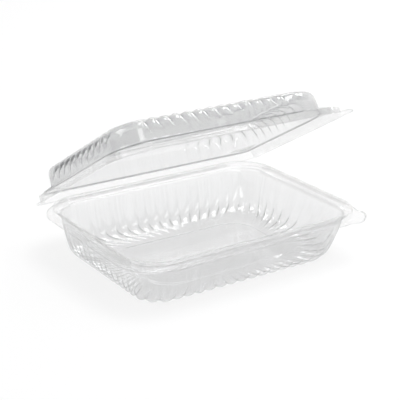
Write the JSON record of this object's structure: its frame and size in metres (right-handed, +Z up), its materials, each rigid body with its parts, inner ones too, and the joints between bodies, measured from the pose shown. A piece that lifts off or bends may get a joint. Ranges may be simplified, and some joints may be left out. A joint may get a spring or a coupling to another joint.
{
  "type": "hinged takeaway container",
  "caption": "Clear thermoformed takeaway container, open: an oblong fluted tray with a raised sealing ridge, and a fluted lid that folds shut along the back edge.",
  "frame": {"origin": "on the table under the middle of the tray", "axes": "+Z up, +X along the fold, +Y from the open front to the fold at the back"},
  "size_m": [0.236, 0.1879, 0.1456],
  "materials": {
    "clear_sheet": "clear, glossy thermoformed sheet"
  },
  "bodies": {
    "tray": {"tray": "clear_sheet"},
    "lid": {"lid": "clear_sheet"}
  },
  "joints": [
    {"name": "lid_fold", "type": "hinge", "parent": "tray", "child": "lid", "pos_m": [0, 0.09195, 0.03755], "axis": [-1, 0, 0], "range_deg": [-30, 150]}
  ]
}
